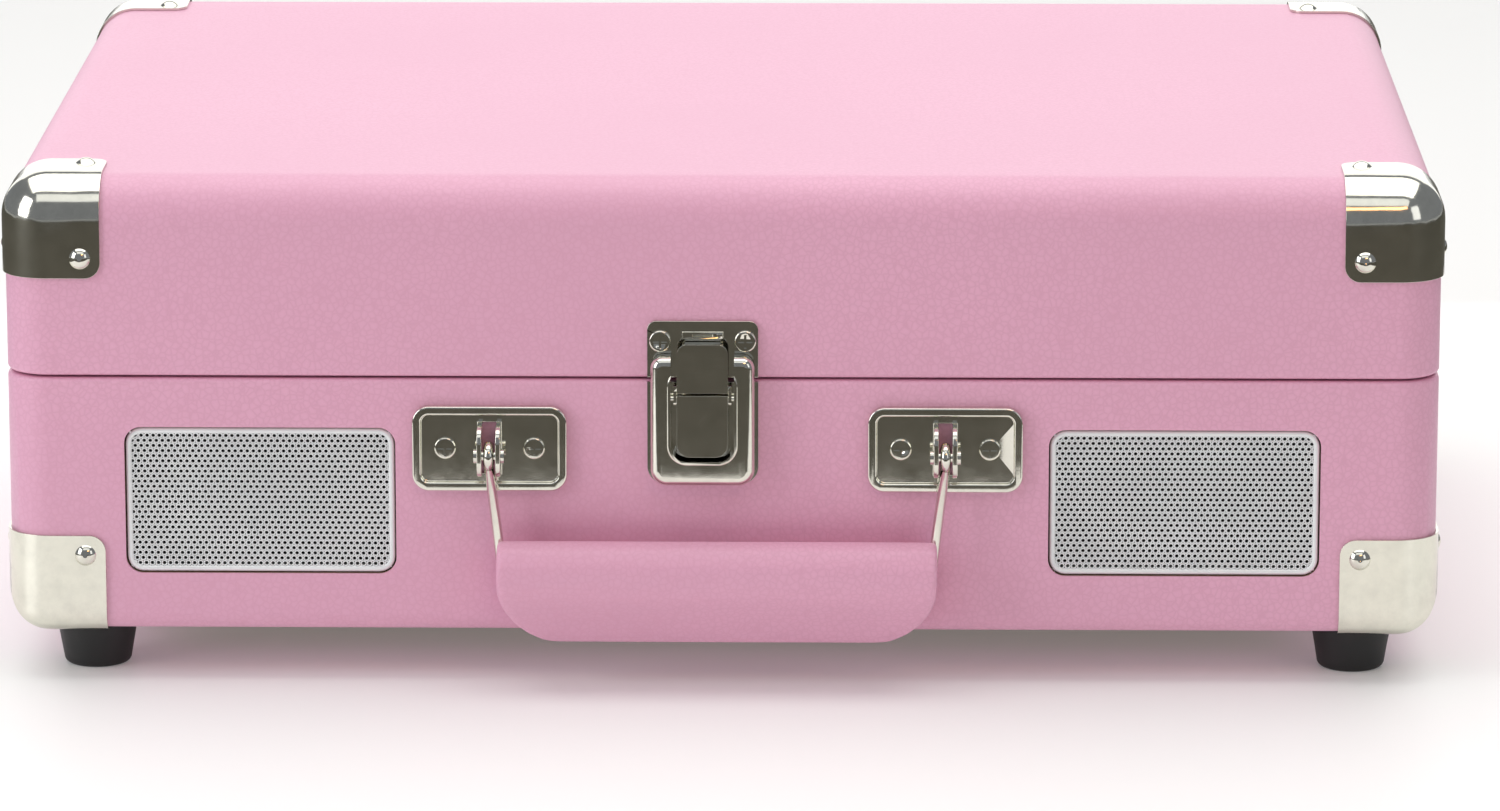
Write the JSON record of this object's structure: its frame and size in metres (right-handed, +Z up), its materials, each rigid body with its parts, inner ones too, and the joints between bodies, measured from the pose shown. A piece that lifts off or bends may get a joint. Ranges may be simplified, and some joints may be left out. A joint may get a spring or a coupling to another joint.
{
  "type": "turntable record player",
  "caption": "Portable suitcase record player: hinged lid, draw latch, carrying handle, belt-driven platter, tonearm and speakers.",
  "frame": {"origin": "on the table, under the middle of the closed case's bounding box", "axes": "+X to the right seen from the front, +Y to the back, +Z up; the latch and handle are on the -Y face"},
  "size_m": [0.3592, 0.2886, 0.1291],
  "materials": {
    "pink_leatherette": "fine grain, soft sheen",
    "case_board": "raw pressed board",
    "plated_steel": "polished, warm nickel tone",
    "grille_steel": "light silver lacquer",
    "zinc_steel": "plain",
    "foot_rubber": "matt",
    "deck_plastic": "fine matt",
    "platter_plastic": "satin",
    "black_plastic": "satin",
    "mat_felt": "felt",
    "belt_rubber": "matt",
    "arm_plastic": "gloss",
    "arm_tube": "satin",
    "brass": "machined",
    "cone_paper": "pressed paper",
    "board_laminate": "laminate",
    "lamp_plastic": "clear red"
  },
  "bodies": {
    "base": {"base_walls": "case_board", "base_floor": "case_board", "base_covering": "pink_leatherette", "corner_posts": "case_board", "base_corners": "plated_steel", "base_rivets": "plated_steel", "feet": "foot_rubber", "foot_screws": "zinc_steel", "inner_screws": "zinc_steel", "handle_bracket_left": "plated_steel", "handle_bracket_right": "plated_steel", "handle_pins": "plated_steel", "base_screws": "plated_steel", "hinge_leaves_base": "plated_steel", "hinge_pins": "plated_steel", "latch_frame": "plated_steel", "latch_pin": "plated_steel", "deck_plate": "deck_plastic", "speakers": "cone_paper", "speaker_grilles": "grille_steel", "spindle_bearing": "brass", "drive_belt": "belt_rubber", "motor": "zinc_steel", "single_adapter": "black_plastic", "arm_base": "black_plastic", "arm_rest": "black_plastic", "control_bodies": "zinc_steel", "phones_jack": "black_plastic", "indicator_lamp": "lamp_plastic", "rear_panel": "black_plastic", "line_out_jacks": "brass", "aux_jack": "black_plastic", "power_inlet": "black_plastic", "circuit_board": "board_laminate"},
    "lid": {"lid_box": "case_board", "lid_covering": "pink_leatherette", "lid_corners": "plated_steel", "lid_rivets": "plated_steel", "lid_screws": "plated_steel", "hinge_leaves_lid": "plated_steel", "latch_catch": "plated_steel"},
    "handle": {"handle_grip": "pink_leatherette", "handle_wire_left": "plated_steel", "handle_wire_right": "plated_steel"},
    "lever": {"latch_lever": "plated_steel"},
    "hasp": {"latch_hasp": "plated_steel"},
    "platter": {"platter": "platter_plastic", "slipmat": "mat_felt", "spindle": "zinc_steel"},
    "pulley": {"motor_pulley": "brass"},
    "yoke": {"arm_yoke": "arm_plastic"},
    "arm": {"tonearm": "arm_tube", "cartridge": "arm_plastic"},
    "arm_clip": {"arm_clip": "black_plastic"},
    "cue_lever": {"cue_lever": "black_plastic"},
    "cue_lifter": {"cue_lifter": "black_plastic"},
    "volume_knob": {"volume_knob": "black_plastic"},
    "tone_knob": {"tone_knob": "black_plastic"},
    "speed_switch": {"speed_switch": "black_plastic"},
    "autostop_switch": {"autostop_switch": "black_plastic"}
  },
  "joints": [
    {"name": "lid_hinge", "type": "hinge", "parent": "base", "child": "lid", "pos_m": [0, 0.1413, 0.0776], "axis": [-1, 0, 0], "range_deg": [0, 96]},
    {"name": "handle_swing", "type": "hinge", "parent": "base", "child": "handle", "pos_m": [-0.0011, -0.1325, 0.0592], "axis": [-1, 0, 0], "range_deg": [0, 130]},
    {"name": "latch_lever_pivot", "type": "hinge", "parent": "base", "child": "lever", "pos_m": [-0.0047, -0.1295, 0.0732], "axis": [-1, 0, 0], "range_deg": [0, 90]},
    {"name": "latch_hasp_pivot", "type": "hinge", "parent": "lever", "child": "hasp", "pos_m": [-0.0047, -0.13105, 0.0726], "axis": [1, 0, 0], "range_deg": [0, 104]},
    {"name": "platter_spin", "type": "hinge", "parent": "base", "child": "platter", "pos_m": [-0.04, -0.0124, 0.0693], "axis": [0, 0, -1], "continuous": true},
    {"name": "pulley_spin", "type": "hinge", "parent": "base", "child": "pulley", "pos_m": [-0.08808, 0.03568, 0.0673], "axis": [0, 0, -1], "continuous": true},
    {"name": "tonearm_swing", "type": "hinge", "parent": "base", "child": "yoke", "pos_m": [0.122, 0.0776, 0.093], "axis": [0, 0, -1], "range_deg": [0, 44]},
    {"name": "tonearm_lift", "type": "hinge", "parent": "yoke", "child": "arm", "pos_m": [0.122, 0.0776, 0.093], "axis": [-1, 0, 0], "range_deg": [0, 5.4]},
    {"name": "arm_clip_turn", "type": "hinge", "parent": "base", "child": "arm_clip", "pos_m": [0.129, -0.0224, 0.096], "axis": [0, -1, 0], "range_deg": [0, 120]},
    {"name": "cue_lever_tilt", "type": "hinge", "parent": "base", "child": "cue_lever", "pos_m": [0.143, 0.0776, 0.0783], "axis": [-1, 0, 0], "range_deg": [0, 60.1]},
    {"name": "cue_lifter_rise", "type": "slide", "parent": "base", "child": "cue_lifter", "axis": [0, 0, 1], "range_m": [0, 0.0027]},
    {"name": "volume_knob_turn", "type": "hinge", "parent": "base", "child": "volume_knob", "pos_m": [0.152, -0.0894, 0.0693], "axis": [0, 0, -1], "range_deg": [0, 300]},
    {"name": "tone_knob_turn", "type": "hinge", "parent": "base", "child": "tone_knob", "pos_m": [0.152, -0.0604, 0.0693], "axis": [0, 0, -1], "range_deg": [-150, 150]},
    {"name": "speed_switch_slide", "type": "slide", "parent": "base", "child": "speed_switch", "axis": [1, 0, 0], "range_m": [0, 0.008]},
    {"name": "autostop_switch_slide", "type": "slide", "parent": "base", "child": "autostop_switch", "axis": [1, 0, 0], "range_m": [0, 0.006]}
  ],
  "couplings": [
    {"joint": "latch_hasp_pivot", "follows": "latch_lever_pivot", "ratio": 1.15},
    {"joint": "pulley_spin", "follows": "platter_spin", "ratio": 10.4},
    {"joint": "cue_lever_tilt", "follows": "tonearm_lift", "ratio": 11.111},
    {"joint": "cue_lifter_rise", "follows": "tonearm_lift", "m_per_rad": 0.028083}
  ]
}
